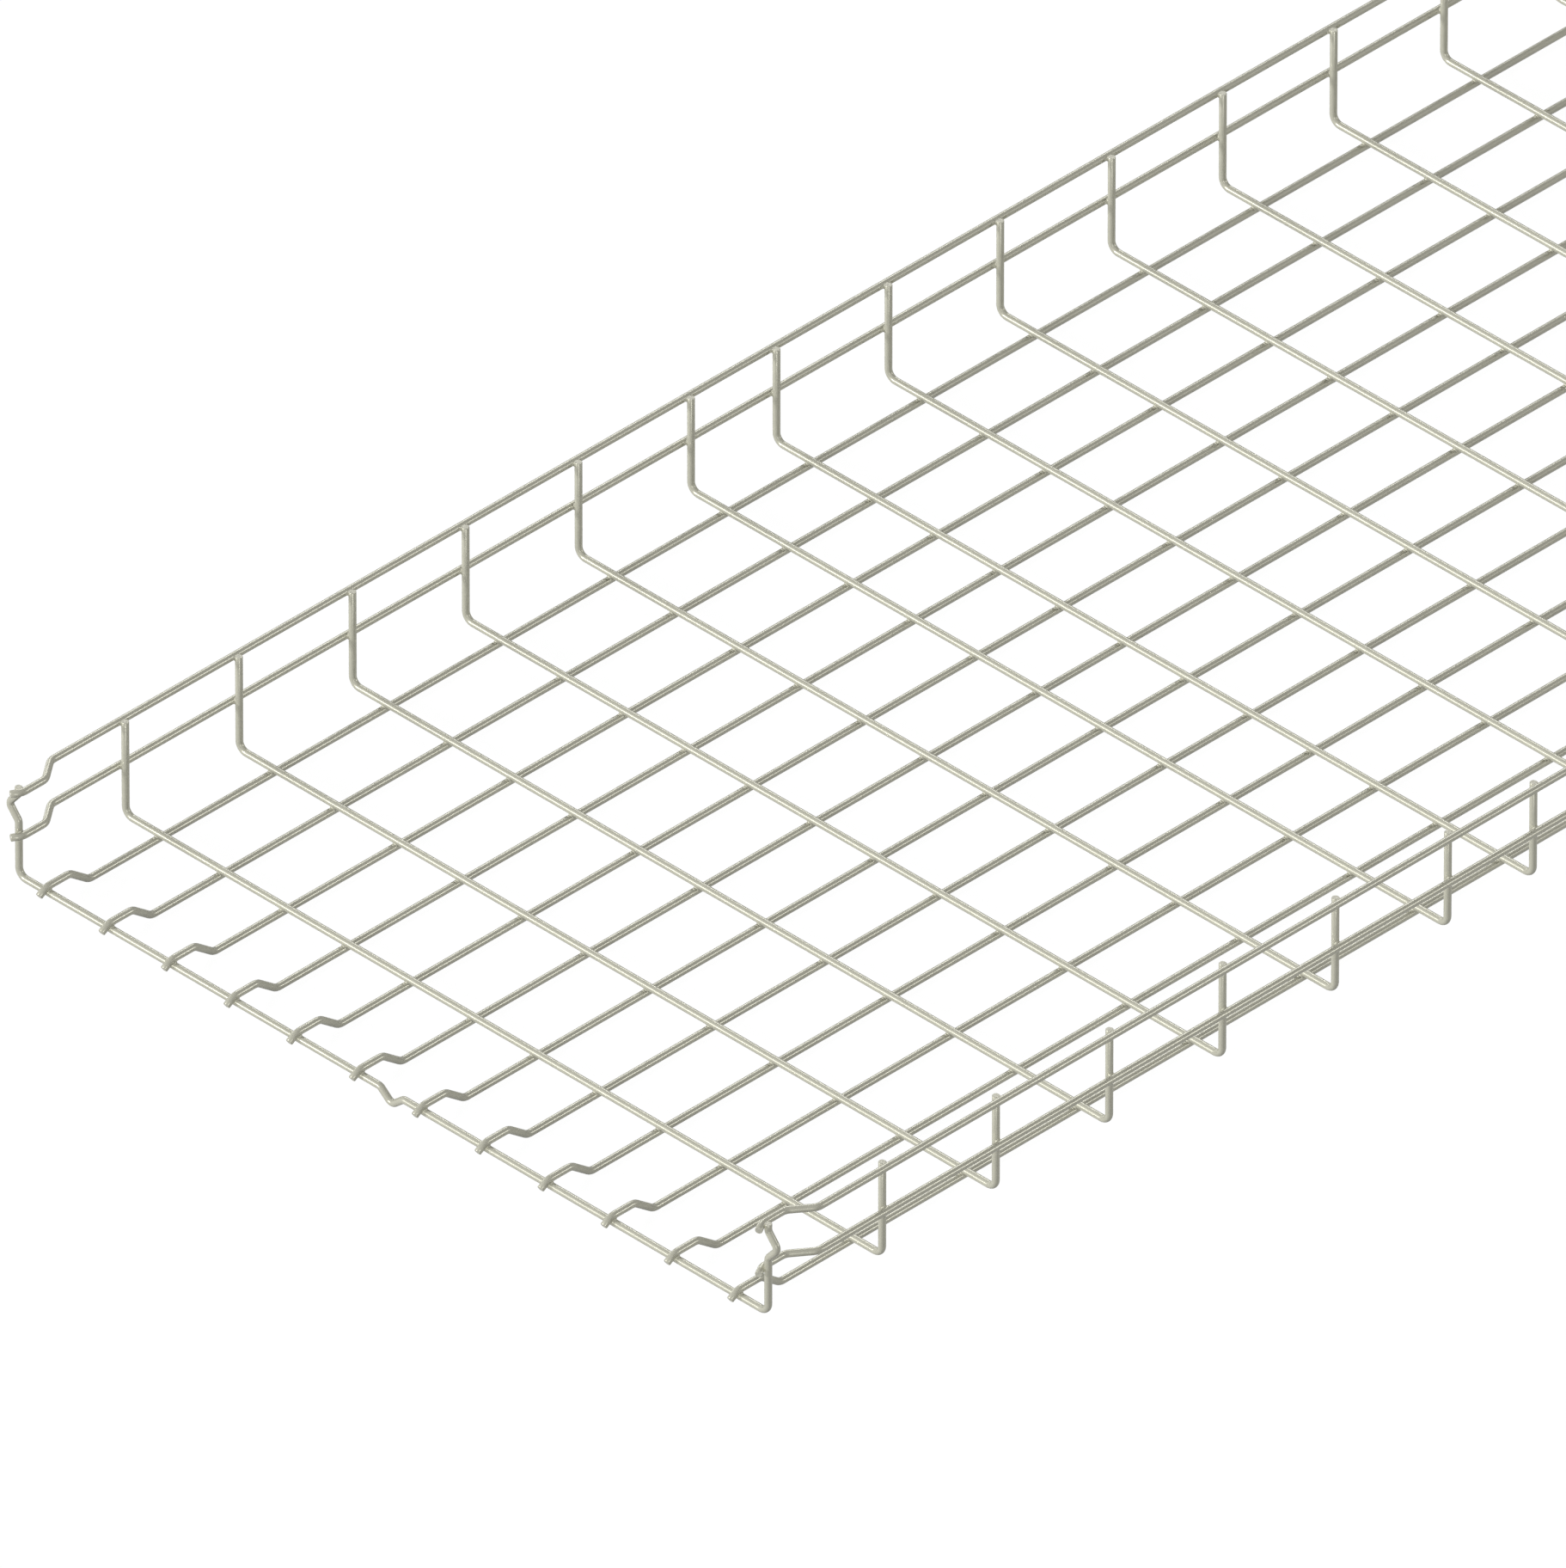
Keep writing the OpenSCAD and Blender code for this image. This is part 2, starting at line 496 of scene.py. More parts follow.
@dataclass(frozen=True)
class WireSpec:
    """The round wire that the whole tray is made of, and how its mesh is divided."""

    diameter: float = 0.0045
    set_down: float = 0.00045
    cut_bevel: float = 0.00028
    sides: int = 24
    bend_step: float = math.radians(7.5)

    @property
    def radius(self) -> float:
        """The wire's radius."""
        return self.diameter / 2

    @property
    def stack(self) -> float:
        """The distance between the centrelines of two welded wires."""
        return self.diameter - self.set_down

    def stations(
        self, corners: Sequence[tuple[float, float]], bend_radii: Sequence[float]
    ) -> list[Station]:
        """Rounds a path's corners and lists the rings along it, with bevelled ends.

        Args:
            corners: The path's ends and sharp corners, in the wire's plane.
            bend_radii: The centreline radius at each inner corner.

        Returns:
            The rings, from the first end to the last.
        """
        marks = [(Vector(corners[0]), heading_of(corners[0], corners[1]))]
        for i, radius in enumerate(bend_radii, start=1):
            marks += self.bend(corners[i - 1], corners[i], corners[i + 1], radius)
        marks.append((Vector(corners[-1]), heading_of(corners[-2], corners[-1])))
        (first, first_heading), (last, last_heading) = marks[0], marks[-1]
        marks.insert(1, (first + self.cut_bevel * facing(first_heading), first_heading))
        marks.insert(-1, (last - self.cut_bevel * facing(last_heading), last_heading))
        rings, along, before = [], 0.0, first
        for place, heading in marks:
            along += (place - before).length
            before = place
            cut = self.cut_bevel if place in (first, last) else 0.0
            rings.append(Station(place.x, place.y, heading, along, self.radius - cut))
        return rings

    def bend(
        self, before: tuple[float, float], corner: tuple[float, float],
        after: tuple[float, float], radius: float,
    ) -> list[tuple[Vector, float]]:
        """Walks round one bend.

        Args:
            before: The corner or end before the bend.
            corner: The sharp corner that the bend rounds.
            after: The corner or end after it.
            radius: The bend's radius on the wire's centreline.

        Returns:
            Places on the arc, each with the wire's heading there.
        """
        start = heading_of(before, corner)
        turn = math.remainder(heading_of(corner, after) - start, math.tau)
        side = math.copysign(1.0, turn)
        back = radius * math.tan(abs(turn) / 2)
        first = Vector(corner) - back * facing(start)
        centre = first + side * radius * facing(start + QUARTER_TURN)
        steps = math.ceil(abs(turn) / self.bend_step)
        walk = []
        for i in range(steps + 1):
            heading = start + turn * i / steps
            walk.append((centre - side * radius * facing(heading + QUARTER_TURN), heading))
        return walk

    def sweep(self, name: str, plane: Plane, rings: Sequence[Station],
              finishes: Finishes) -> bpy.types.Object:
        """Sweeps the wire along its rings and closes it with cut ends.

        Args:
            name: The piece's name.
            plane: The plane that the wire is bent in.
            rings: The rings along the wire.
            finishes: The tray's materials.

        Returns:
            The wire, with its skin's coordinates in metres along and around it.
        """
        sides = self.sides
        turns = [math.tau * k / sides for k in range(sides + 1)]
        verts = [ring_point(plane, ring, turn) for ring in rings for turn in turns[:-1]]
        faces: list[tuple[int, ...]] = band_faces(len(rings), sides)
        surfaces = [Surface.DRAWN.value] * len(faces)
        skin = []
        for ring, following in zip(rings, rings[1:]):
            near, far = ring.along, following.along
            for turn, next_turn in zip(turns, turns[1:]):
                low, high = self.radius * turn, self.radius * next_turn
                skin += [(near, low), (near, high), (far, high), (far, low)]
        for ring, order in ((rings[0], -1), (rings[-1], 1)):
            start = len(verts)
            verts += [ring_point(plane, ring, turn) for turn in turns[:-1]]
            faces.append(tuple(range(start, start + sides))[::order])
            skin += [(ring.along, self.radius * turn) for turn in turns[:-1]][::order]
            surfaces.append(Surface.CUT.value)
        mesh = new_mesh(name, verts, faces)
        layer = mesh.uv_layers.new(name="wire_skin")
        layer.data.foreach_set("uv", [value for pair in skin for value in pair])
        mesh.materials.append(finishes.wire)
        mesh.materials.append(finishes.cut)
        mesh.polygons.foreach_set("material_index", surfaces)
        return new_object(name, mesh)


def heading_of(start: Sequence[float], end: Sequence[float]) -> float:
    """The direction from one place in a plane to another, in radians."""
    return math.atan2(end[1] - start[1], end[0] - start[0])


def facing(heading: float) -> Vector:
    """The step of length 1 in a direction of a plane."""
    return Vector((math.cos(heading), math.sin(heading)))


def ring_point(plane: Plane, ring: Station, turn: float) -> Vector:
    """Finds one point of a ring around a wire.

    Args:
        plane: The plane that the wire is bent in.
        ring: The ring.
        turn: The angle round the wire.

    Returns:
        The point.
    """
    aside = plane.across * -math.sin(ring.heading) + plane.up * math.cos(ring.heading)
    out = math.cos(turn) * plane.normal + math.sin(turn) * aside
    return plane.point(ring.u, ring.v) + ring.radius * out


def band_faces(rings: int, around: int) -> list[tuple[int, ...]]:
    """Lists the four-sided faces between rings of points that follow each other.

    Args:
        rings: The number of rings.
        around: The number of points in each ring.

    Returns:
        The faces, as numbers of their points.
    """
    faces = []
    for start in range(0, (rings - 1) * around, around):
        for k in range(around):
            m = (k + 1) % around
            faces.append((start + k, start + m, start + around + m, start + around + k))
    return faces


def new_mesh(
    name: str, verts: Sequence[Vector], faces: Sequence[tuple[int, ...]]
) -> bpy.types.Mesh:
    """Makes a smooth-shaded mesh.

    Args:
        name: The mesh's name.
        verts: The points.
        faces: The faces, as numbers of their points.

    Returns:
        The mesh.
    """
    mesh = bpy.data.meshes.new(name)
    mesh.from_pydata([tuple(v) for v in verts], [], list(faces))
    mesh.polygons.foreach_set("use_smooth", [True] * len(mesh.polygons))
    mesh.update()
    return mesh


def new_object(name: str, data: bpy.types.ID) -> bpy.types.Object:
    """Puts data into the scene as an object.

    Args:
        name: The object's name.
        data: Its mesh, light or camera.

    Returns:
        The object.
    """
    obj = bpy.data.objects.new(name, data)
    bpy.context.scene.collection.objects.link(obj)
    return obj


# ---------------------------------------------------------------------------
# The tray's layout
# ---------------------------------------------------------------------------


@dataclass
class TrayGrid:
    """Where every wire of the tray lies, worked out from the frame's box and a few spacings."""

    wire: WireSpec
    low: Vector
    high: Vector
    floor_count: int = 12
    floor_pitch: float = 0.050
    side_pitch: float = 0.030
    rim_drop: float = 0.0015
    corner_radius: float = 0.006
    first_bay: float = 0.087
    cross_pitch: float = 0.090
    near_count: int = 6
    short_bay: float = 0.0685
    end_inset: float = 0.0029
    tip_reach: float = 0.0071
    tip_angle: float = math.radians(30.0)

    @property
    def end_y(self) -> float:
        """The place of the end wire along the tray."""
        return self.low.y + self.tip_reach + self.wire.radius * math.sin(self.tip_angle)

    @property
    def floor_z(self) -> float:
        """The height of the floor wires' centrelines."""
        return self.low.z + self.wire.radius

    @property
    def cross_z(self) -> float:
        """The height of the cross wires' floor stretches."""
        return self.floor_z + self.wire.stack

    @property
    def side_x(self) -> float:
        """The distance of the side wires from the middle plane."""
        return self.high.x - self.wire.radius

    @property
    def upright_x(self) -> float:
        """The distance of the cross wires' uprights from the middle plane."""
        return self.side_x - self.wire.stack

    @property
    def side_heights(self) -> tuple[float, float]:
        """The heights of the lower and the upper side wires."""
        top = self.high.z - self.wire.radius
        return top - self.side_pitch, top

    @property
    def upright_top(self) -> float:
        """The height of the uprights' cut ends."""
        return self.side_heights[1] + self.rim_drop

    @property
    def end_z(self) -> float:
        """The height of the end wire's floor stretch."""
        return self.cross_z + self.end_inset

    @property
    def end_x(self) -> float:
        """The distance of the end wire's uprights from the middle plane."""
        return self.upright_x - self.end_inset

    @property
    def floor_places(self) -> list[float]:
        """The places of the floor wires across the tray."""
        middle = (self.floor_count - 1) / 2
        return [(i - middle) * self.floor_pitch for i in range(self.floor_count)]

    @property
    def cross_places(self) -> list[float]:
        """Lists the plain cross wires' places along the tray, as many as fit before its far end.

        Returns:
            The places, from the snap-in end on.
        """
        places = [self.end_y + self.first_bay + i * self.cross_pitch
                  for i in range(self.near_count)]
        step = self.short_bay
        while places[-1] + step < self.high.y:
            places.append(places[-1] + step)
            step = self.cross_pitch
        return places


@dataclass(frozen=True)
class SnapInJog:
    """How the long wires leave their plain line, pass inside the end wire and turn back out."""

    ramp_start: float = 0.0172
    ramp_length: float = 0.0148
    tip_bend: float = 0.0009
    bend_radius: float = 0.008

    def corners(self, grid: TrayGrid, plain: float, inside: float) -> list[tuple[float, float]]:
        """Lists a long wire's corners, from its snap-in tip to its far end.

        Args:
            grid: The tray's layout.
            plain: The wire's plain line, on the axis that it jogs along.
            inside: Its line past the inner side of the end wire.

        Returns:
            The corners, as the place along the tray and the place on the jog's axis.
        """
        back = math.copysign(1.0, plain - inside)
        tip = inside + back * (grid.tip_reach - self.tip_bend) * math.tan(grid.tip_angle)
        return [
            (grid.end_y - grid.tip_reach, tip),
            (grid.end_y - self.tip_bend, inside),
            (grid.end_y + self.ramp_start, inside),
            (grid.end_y + self.ramp_start + self.ramp_length, plain),
            (grid.high.y, plain),
        ]

    @property
    def radii(self) -> list[float]:
        """The radii of the tip's bend and the ramp's two bends."""
        return [self.bend_radius] * 3


# ---------------------------------------------------------------------------
# The tray's wires
# ---------------------------------------------------------------------------


@dataclass
class FloorWires:
    """The long wires that run along the underside of the tray."""

    grid: TrayGrid
    finishes: Finishes
    jog: SnapInJog = field(default_factory=SnapInJog)

    def build(self) -> list[bpy.types.Object]:
        """Builds every floor wire.

        Returns:
            The wires, from the left to the right.
        """
        grid, wire = self.grid, self.grid.wire
        path = self.jog.corners(grid, grid.floor_z, grid.end_z + wire.stack)
        rings = wire.stations(path, self.jog.radii)
        wires = []
        for i, x in enumerate(grid.floor_places, start=1):
            plane = Plane(Vector((x, 0.0, 0.0)), Y_AXIS, Z_AXIS)
            wires.append(wire.sweep(f"floor_wire_{i:02d}", plane, rings, self.finishes))
        return wires


@dataclass
class SideWires:
    """The two long wires on the outer face of one side wall."""

    grid: TrayGrid
    wall: Wall
    finishes: Finishes
    jog: SnapInJog = field(default_factory=SnapInJog)

    def build(self) -> list[bpy.types.Object]:
        """Builds the wall's lower and upper side wire.

        Returns:
            The two wires.
        """
        grid, wire = self.grid, self.grid.wire
        path = self.jog.corners(grid, grid.side_x, grid.end_x - wire.stack)
        rings = wire.stations(path, self.jog.radii)
        wires = []
        for level, z in zip(("low", "top"), grid.side_heights):
            plane = Plane(Vector((0.0, 0.0, z)), Y_AXIS, self.wall.value * X_AXIS)
            name = f"side_wire_{self.wall.title}_{level}"
            wires.append(wire.sweep(name, plane, rings, self.finishes))
        return wires


@dataclass
class CrossWires:
    """The plain U-shaped wires that lie on the floor wires and stand inside the side wires."""

    grid: TrayGrid
    finishes: Finishes

    def build(self) -> list[bpy.types.Object]:
        """Builds every plain cross wire.

        Returns:
            The wires, from the snap-in end to the far end.
        """
        grid, wire = self.grid, self.grid.wire
        x, low, top = grid.upright_x, grid.cross_z, grid.upright_top
        path = [(-x, top), (-x, low), (x, low), (x, top)]
        rings = wire.stations(path, [grid.corner_radius] * 2)
        wires = []
        for i, y in enumerate(grid.cross_places, start=1):
            plane = Plane(Vector((0.0, y, 0.0)), X_AXIS, Z_AXIS)
            wires.append(wire.sweep(f"cross_wire_{i:02d}", plane, rings, self.finishes))
        return wires


@dataclass
class EndWire:
    """The set-in cross wire of the snap-in end, with its three locking kinks."""

    grid: TrayGrid
    finishes: Finishes
    kink_half: float = 0.0093
    kink_depth: float = 0.0078
    kink_radius: float = 0.004
    kink_drop: float = 0.0128

    def build(self) -> list[bpy.types.Object]:
        """Builds the end wire.

        Returns:
            The wire, in a list of its own.
        """
        grid, wire = self.grid, self.grid.wire
        x, low, top = grid.end_x, grid.end_z, grid.upright_top
        middle = grid.side_heights[1] - self.kink_drop
        half, out = self.kink_half, x + self.kink_depth
        right = [(half, low), (x, low), (x, middle - half), (out, middle), (x, middle + half)]
        right_radii = [self.kink_radius, grid.corner_radius] + [self.kink_radius] * 3
        left = [(-u, v) for u, v in reversed(right)]
        path = [(-x, top), *left, (0.0, low - self.kink_depth), *right, (x, top)]
        radii = [*reversed(right_radii), self.kink_radius, *right_radii]
        plane = Plane(Vector((0.0, grid.end_y, 0.0)), X_AXIS, Z_AXIS)
        return [wire.sweep("end_wire", plane, wire.stations(path, radii), self.finishes)]


# ---------------------------------------------------------------------------
# Welds
# ---------------------------------------------------------------------------


@dataclass(frozen=True)
class Crossing:
    """One welded crossing: its middle, the long wire's line, and the way to the cross wire."""

    middle: Vector
    long_line: Vector
    to_cross: Vector

    @property
    def frame(self) -> Matrix:
        """Sets up the crossing's own axes.

        Returns:
            The axes in space, with Y on the long wire and Z towards the cross wire.
        """
        aside = self.long_line.cross(self.to_cross)
        turn = Matrix((aside, self.long_line, self.to_cross)).transposed()
        return Matrix.Translation(self.middle) @ turn.to_4x4()


@dataclass
class SpotWeld:
    """One spot weld: the fillet between two crossing wires and the lips squeezed out beside it.

    In its own axes the long wire runs along Y below the middle, and the cross wire along X
    above it.
    """

    wire: WireSpec
    fillet: float = 0.00115
    waist_rays: int = 20
    waist_rows: int = 6
    waist_tilt: float = math.radians(42.0)
    waist_unevenness: float = 0.00010
    reach: float = 0.0034
    reach_steps: int = 48
    halvings: int = 10
    skin_gap: float = 0.00003
    lip_place: float = 0.0031
    lip_place_spread: float = 0.04
    lip_half: tuple[float, float, float] = (0.00125, 0.00075, 0.00042)
    lip_size_spread: float = 0.15
    lip_sides: int = 10
    lip_rows: int = 3

    def distance(self, point: Vector) -> float:
        """Measures how far a point is outside the two wires and the fillet between them.

        Args:
            point: A point in the weld's own axes.

        Returns:
            The distance, negative inside the metal.
        """
        half = self.wire.stack / 2
        lower = math.hypot(point.x, point.z + half) - self.wire.radius
        upper = math.hypot(point.y, point.z - half) - self.wire.radius
        overlap = max(self.fillet - abs(lower - upper), 0.0) / self.fillet
        return min(lower, upper) - overlap * overlap * self.fillet / 4

    def surface_point(self, ray: Vector) -> Vector:
        """Finds where a ray from the weld's middle leaves the metal.

        Args:
            ray: The ray's direction.

        Returns:
            The point, just under the surface, or at the weld's reach if the ray stays inside.
        """
        step = self.reach / self.reach_steps
        out = step
        while out < self.reach and self.distance(out * ray) < 0.0:
            out += step
        low, high = out - step, min(out, self.reach)
        for _ in range(self.halvings):
            middle = (low + high) / 2
            if self.distance(middle * ray) < 0.0:
                low = middle
            else:
                high = middle
        return (low - self.skin_gap) * ray

    def waist(self, dice: random.Random) -> tuple[list[Vector], list[tuple[int, ...]]]:
        """Builds the fillet as a band round the weld's middle.

        Args:
            dice: The source of the weld's unevenness.

        Returns:
            The band's points and faces.
        """
        verts = []
        around = self.waist_rays
        for row in range(self.waist_rows + 1):
            tilt = self.waist_tilt * (2 * row / self.waist_rows - 1)
            for k in range(around):
                turn = math.tau * (k + 0.5) / around
                flat = math.cos(tilt)
                ray = Vector((flat * math.cos(turn), flat * math.sin(turn), math.sin(tilt)))
                uneven = 1.0 + dice.uniform(-1.0, 1.0) * self.waist_unevenness / self.reach
                verts.append(self.surface_point(ray) * uneven)
        return verts, band_faces(self.waist_rows + 1, around)

    def lip(self, side: int, dice: random.Random) -> tuple[list[Vector], list[tuple[int, ...]]]:
        """Builds the lip of squeezed-out metal on the long wire, on one side of the weld.

        Args:
            side: The side, as a sign on the long wire's line.
            dice: The source of the lip's unevenness.

        Returns:
            The lip's points and faces.
        """
        least, most = 1.0 - self.lip_size_spread, 1.0 + self.lip_size_spread
        wide, long, tall = (size * dice.uniform(least, most) for size in self.lip_half)
        shift = dice.uniform(1.0 - self.lip_place_spread, 1.0 + self.lip_place_spread)
        place = side * self.lip_place * shift
        crown = self.wire.radius - self.wire.stack / 2
        verts = []
        around = self.lip_sides
        for row in range(self.lip_rows):
            tilt = QUARTER_TURN * row / self.lip_rows
            for k in range(around):
                turn = math.tau * k / around
                x = wide * math.cos(tilt) * math.cos(turn)
                y = long * math.cos(tilt) * math.sin(turn)
                fall = self.wire.radius - math.sqrt(self.wire.radius ** 2 - x * x)
                rise = tall * math.sin(tilt) - (self.skin_gap if row == 0 else 0.0)
                verts.append(Vector((x, place + y, crown - fall + rise)))
        faces = band_faces(self.lip_rows, around)
        top, last = len(verts), len(verts) - around
        verts.append(Vector((0.0, place, crown + tall)))
        faces += [(last + k, last + (k + 1) % around, top) for k in range(around)]
        return verts, faces

    def build(self, dice: random.Random) -> tuple[list[Vector], list[tuple[int, ...]]]:
        """Builds one whole weld in its own axes.

        Args:
            dice: The source of the weld's unevenness.

        Returns:
            The weld's points and faces.
        """
        verts, faces = self.waist(dice)
        for side in (-1, 1):
            more_verts, more_faces = self.lip(side, dice)
            faces += [tuple(n + len(verts) for n in face) for face in more_faces]
            verts += more_verts
        return verts, faces


@dataclass
class Welds:
    """The welds of every crossing, joined into one piece for the floor, each wall and the end."""

    grid: TrayGrid
    finishes: Finishes
    variants: int = 8
    seed: int = 4506
    weld: SpotWeld = field(init=False)

    def __post_init__(self) -> None:
        """Takes the weld's size from the tray's wire."""
        self.weld = SpotWeld(self.grid.wire)

    def floor_crossings(self) -> list[Crossing]:
        """Lists the crossings of the floor wires and the plain cross wires."""
        height = (self.grid.floor_z + self.grid.cross_z) / 2
        return [Crossing(Vector((x, y, height)), Y_AXIS, Z_AXIS)
                for y in self.grid.cross_places for x in self.grid.floor_places]

    def wall_crossings(self, wall: Wall) -> list[Crossing]:
        """Lists the crossings of a wall's side wires and its uprights."""
        x = wall.value * (self.grid.side_x + self.grid.upright_x) / 2
        return [Crossing(Vector((x, y, z)), Y_AXIS, -wall.value * X_AXIS)
                for y in self.grid.cross_places for z in self.grid.side_heights]

    def end_crossings(self) -> list[Crossing]:
        """Lists the crossings of the end wire with the floor wires and the side wires.

        Returns:
            The crossings, with the long wires on the inner side of the end wire.
        """
        grid = self.grid
        half = grid.wire.stack / 2
        found = [Crossing(Vector((x, grid.end_y, grid.end_z + half)), Y_AXIS, -Z_AXIS)
                 for x in grid.floor_places]
        for wall in Wall:
            x = wall.value * (grid.end_x - half)
            found += [Crossing(Vector((x, grid.end_y, z)), Y_AXIS, wall.value * X_AXIS)
                      for z in grid.side_heights]
        return found

    def joined(self, name: str, crossings: Sequence[Crossing]) -> bpy.types.Object:
        """Sets one of the weld's variants at each crossing and joins them all.

        No weld rises past the cut ends of the uprights.

        Args:
            name: The piece's name.
            crossings: The crossings.

        Returns:
            The welds as one piece.
        """
        ceiling = self.grid.upright_top - self.weld.skin_gap
        dice = random.Random(f"{self.seed} {name}")
        patterns = [self.weld.build(dice) for _ in range(self.variants)]
        verts, faces = [], []
        for crossing in crossings:
            pattern_verts, pattern_faces = patterns[dice.randrange(self.variants)]
            frame = crossing.frame
            faces += [tuple(n + len(verts) for n in face) for face in pattern_faces]
            verts += [frame @ vert for vert in pattern_verts]
        for vert in verts:
            vert.z = min(vert.z, ceiling)
        mesh = new_mesh(name, verts, faces)
        mesh.materials.append(self.finishes.weld)
        return new_object(name, mesh)

    def build(self) -> list[bpy.types.Object]:
        """Builds the welds.

        Returns:
            One piece for the floor, one for each wall and one for the end wire.
        """
        pieces = [self.joined("floor_welds", self.floor_crossings())]
        for wall in Wall:
            pieces.append(self.joined(f"side_welds_{wall.title}", self.wall_crossings(wall)))
        pieces.append(self.joined("end_wire_welds", self.end_crossings()))
        return pieces


# ---------------------------------------------------------------------------
# Studio
# ---------------------------------------------------------------------------


@dataclass(frozen=True)
class SoftLamp:
    """A soft lamp that is far away, by the direction that its light comes from, in degrees.

    A lamp without a shadow fills in where the wires would darken each other.
    """

    name: str
    azimuth: float
    elevation: float
    strength: float
    spread: float
    shadow: bool = True

    def build(self) -> None:
        """Sets the lamp up."""
        data = bpy.data.lights.new(self.name, "SUN")
        data.energy = self.strength
        data.angle = math.radians(self.spread)
        data.use_shadow = self.shadow
        towards = direction(self.azimuth, self.elevation)
        new_object(self.name, data).rotation_euler = towards.to_track_quat("Z", "Y").to_euler()


def direction(azimuth: float, elevation: float) -> Vector:
    """Gives the way towards something that stands round the tray.

    Args:
        azimuth: The angle in degrees from the snap-in end, towards the right wall.
        elevation: The angle in degrees above the floor.

    Returns:
        The direction from the tray, one metre long.
    """
    turn, rise = math.radians(azimuth), math.radians(elevation)
    flat = math.cos(rise)
    return Vector((flat * math.sin(turn), -flat * math.cos(turn), math.sin(rise)))


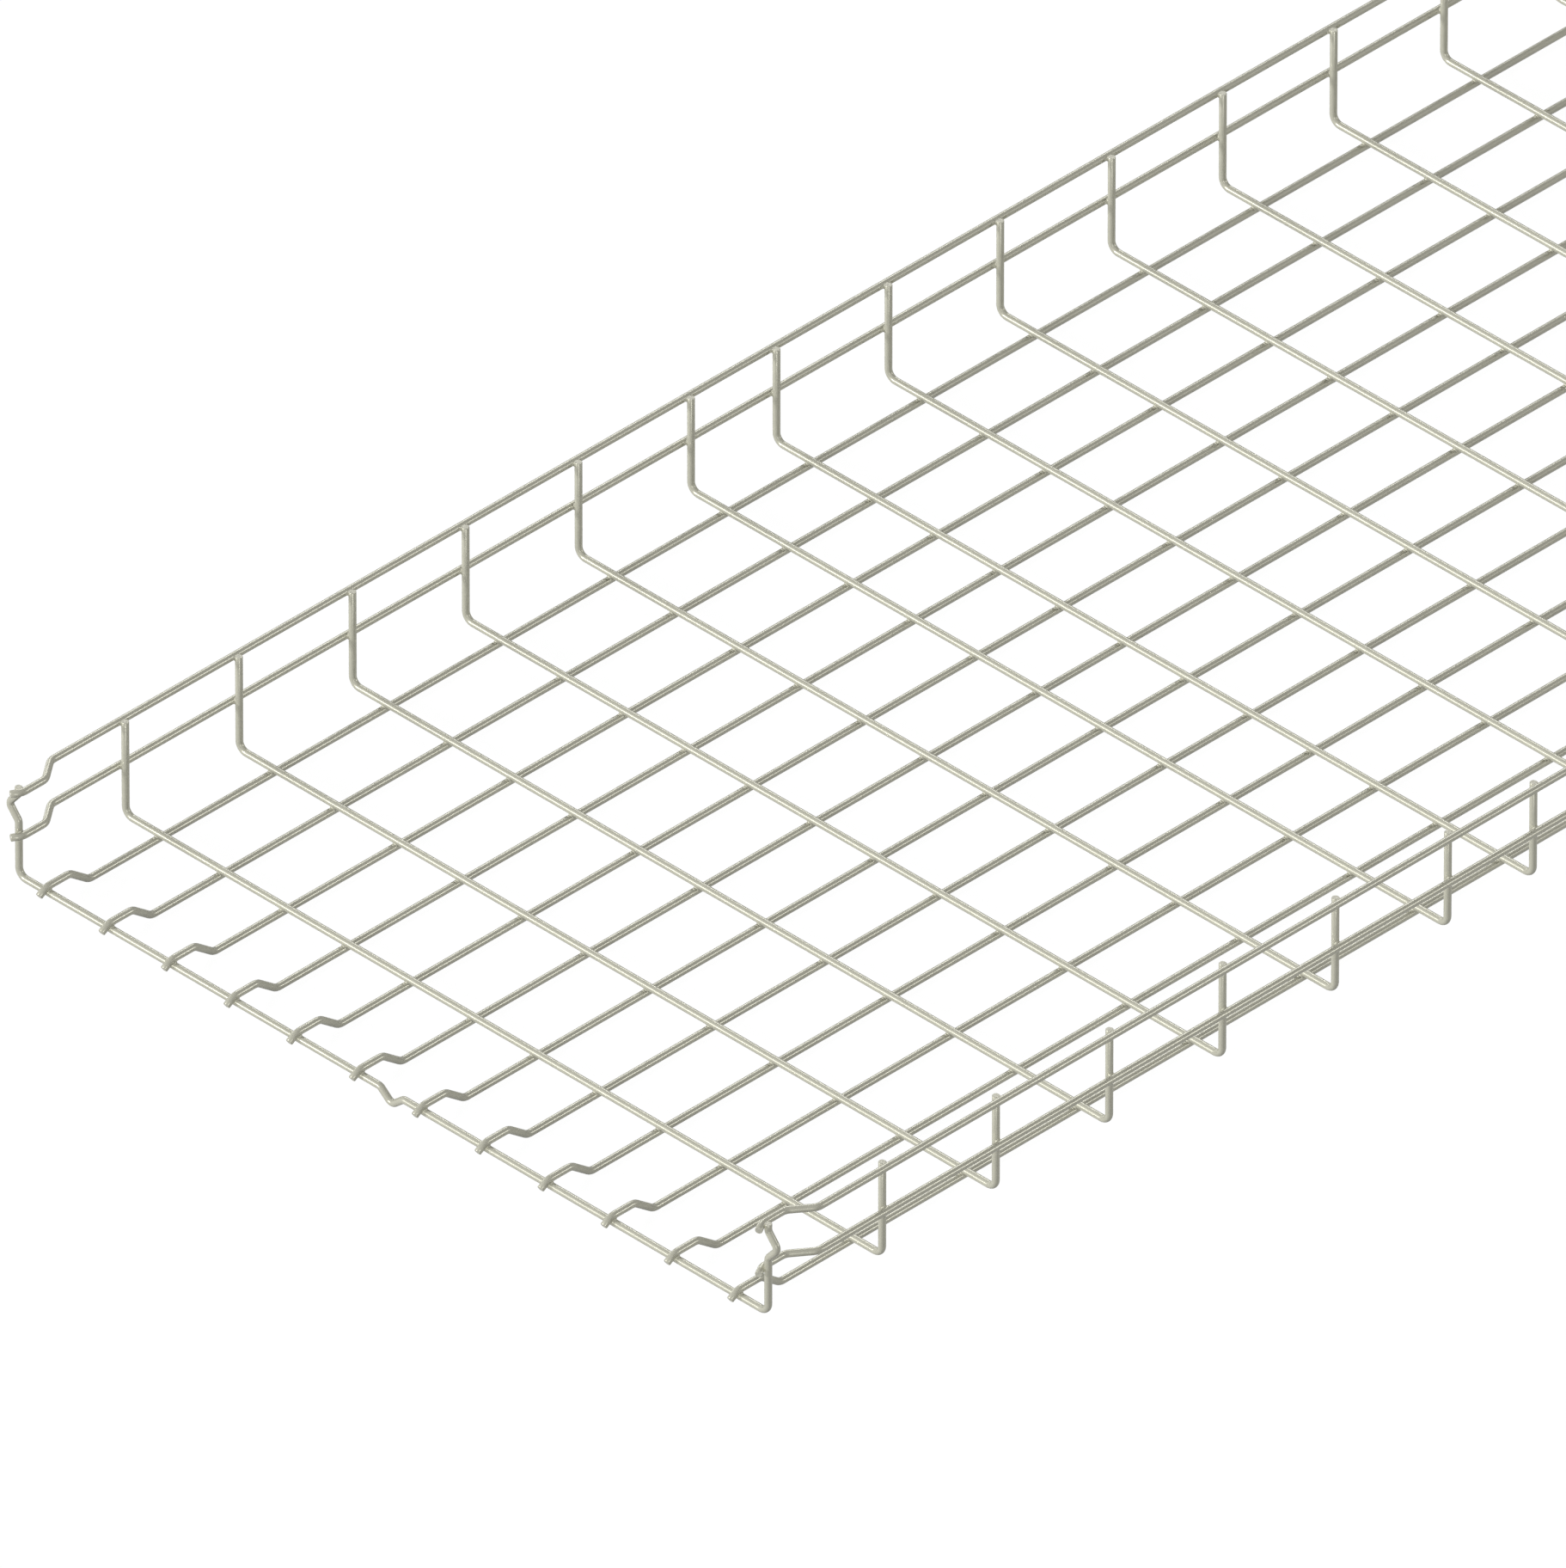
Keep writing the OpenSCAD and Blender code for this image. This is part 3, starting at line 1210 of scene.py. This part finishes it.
@dataclass
class Studio:
    """The plain white floor, the soft lamps, the world's light and the camera.

    The camera looks at the tray in an isometric view: the three axes are 120 degrees apart in it,
    and look equally short. The view is aimed a step to the right of the end wire's middle and a
    step up, as the camera sees them, and is view_height high at focus_back behind that aim.
    """

    grid: TrayGrid
    floor_size: float = 40.0
    world_light: float = 0.15
    lens: float = 1600.0
    sensor: float = 36.0
    azimuth: float = 45.0
    elevation: float = math.degrees(math.asin(math.tan(math.radians(30.0))))
    view_height: float = 0.8827
    aim_right: float = 0.2190
    aim_up: float = 0.1805
    focus_back: float = 0.190
    lamps: tuple[SoftLamp, ...] = (
        SoftLamp("key_lamp", -25.0, 17.0, 1.1, 14.0),
        SoftLamp("key_fill", -25.0, 17.0, 1.6, 14.0, shadow=False),
        SoftLamp("front_lamp", 56.0, 8.0, 0.45, 14.0),
        SoftLamp("rim_lamp", -135.0, 30.0, 0.6, 20.0),
        SoftLamp("left_lamp", -105.0, 7.0, 0.3, 20.0),
        SoftLamp("back_lamp", 128.0, 18.0, 0.6, 12.0, shadow=False),
    )

    def lay_floor(self) -> None:
        """Lays the floor under the tray."""
        half, z = self.floor_size / 2, self.grid.low.z
        places = ((-half, -half), (half, -half), (half, half), (-half, half))
        corners = [Vector((x, y, z)) for x, y in places]
        mesh = new_mesh("studio_floor", corners, [(0, 1, 2, 3)])
        mesh.materials.append(BackdropFinish().material())
        new_object("studio_floor", mesh)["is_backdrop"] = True

    def light_world(self) -> None:
        """Lights the world: white where it is seen or mirrored, a plain level elsewhere."""
        world = bpy.data.worlds.new("studio_world")
        bpy.context.scene.world = world
        world.use_nodes = True
        tree = world.node_tree
        background = tree.nodes["Background"]
        background.inputs["Color"].default_value = (1.0, 1.0, 1.0, 1.0)
        level = tree.nodes.new("ShaderNodeMapRange")
        level.inputs["To Min"].default_value = self.world_light
        level.inputs["To Max"].default_value = 1.0
        tree.links.new(seen_or_mirrored(tree), level.inputs["Value"])
        tree.links.new(level.outputs["Result"], background.inputs["Strength"])

    def place_camera(self) -> None:
        """Places the camera far off with a very long lens, so that the view is nearly parallel."""
        data = bpy.data.cameras.new("camera")
        data.lens = self.lens
        data.sensor_width = self.sensor
        camera = new_object("camera", data)
        back = direction(self.azimuth, self.elevation)
        right = Z_AXIS.cross(back).normalized()
        up = back.cross(right)
        aim = Vector((0.0, self.grid.end_y, self.grid.low.z))
        aim += self.aim_right * right + self.aim_up * up
        distance = self.view_height * self.lens / self.sensor - self.focus_back
        data.clip_end = 2 * distance
        camera.location = aim + distance * back
        camera.rotation_euler = back.to_track_quat("Z", "Y").to_euler()
        bpy.context.scene.camera = camera

    def build(self) -> None:
        """Sets the whole studio up."""
        bpy.context.scene.view_settings.view_transform = "Standard"
        self.place_camera()
        self.lay_floor()
        self.light_world()
        for lamp in self.lamps:
            lamp.build()


# ---------------------------------------------------------------------------
# The tray as a whole
# ---------------------------------------------------------------------------


def fasten(pieces: Sequence[bpy.types.Object], nodes: Sequence[str]) -> None:
    """Makes pieces ride on the tray and stand for nodes of the frame, whose parts it hides.

    Args:
        pieces: The pieces.
        nodes: The nodes that each piece stands for.
    """
    for piece in pieces:
        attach(piece, BODY)
        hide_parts(*nodes)
        count = sum(len(face.vertices) - 2 for face in piece.data.polygons)
        LOG.info("%s: %d triangles, stands for %s", piece.name, count, ", ".join(nodes))


def build_tray(grid: TrayGrid, finishes: Finishes) -> None:
    """Builds every wire and weld of the tray and fastens them to the frame.

    Args:
        grid: The tray's layout.
        finishes: The tray's materials.
    """
    walls = tuple(wall.mesh_node for wall in Wall)
    fasten(FloorWires(grid, finishes).build(), ("snap_in_floor", *FLOOR_NODES))
    for wall in Wall:
        nodes = (wall.mesh_node, wall.drawn_in_node, f"snap_in_{wall.title}")
        fasten(SideWires(grid, wall, finishes).build(), nodes)
    fasten(CrossWires(grid, finishes).build(), (*FLOOR_NODES, *walls))
    fasten(EndWire(grid, finishes).build(), SNAP_IN_NODES)
    floor, left, right, end = Welds(grid, finishes).build()
    fasten([floor], FLOOR_NODES)
    fasten([left], [Wall.LEFT.mesh_node])
    fasten([right], [Wall.RIGHT.mesh_node])
    fasten([end], SNAP_IN_NODES)


def main() -> None:
    """Loads the frame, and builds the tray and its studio."""
    logging.basicConfig(level=logging.INFO, format="%(name)s: %(message)s")
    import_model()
    frame_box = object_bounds()
    grid = TrayGrid(WireSpec(), *frame_box)
    LOG.info("%d cross wires, %d floor wires", len(grid.cross_places), grid.floor_count)
    Studio(grid).build()
    build_tray(grid, Finishes())


if __name__ == "__main__":
    main()
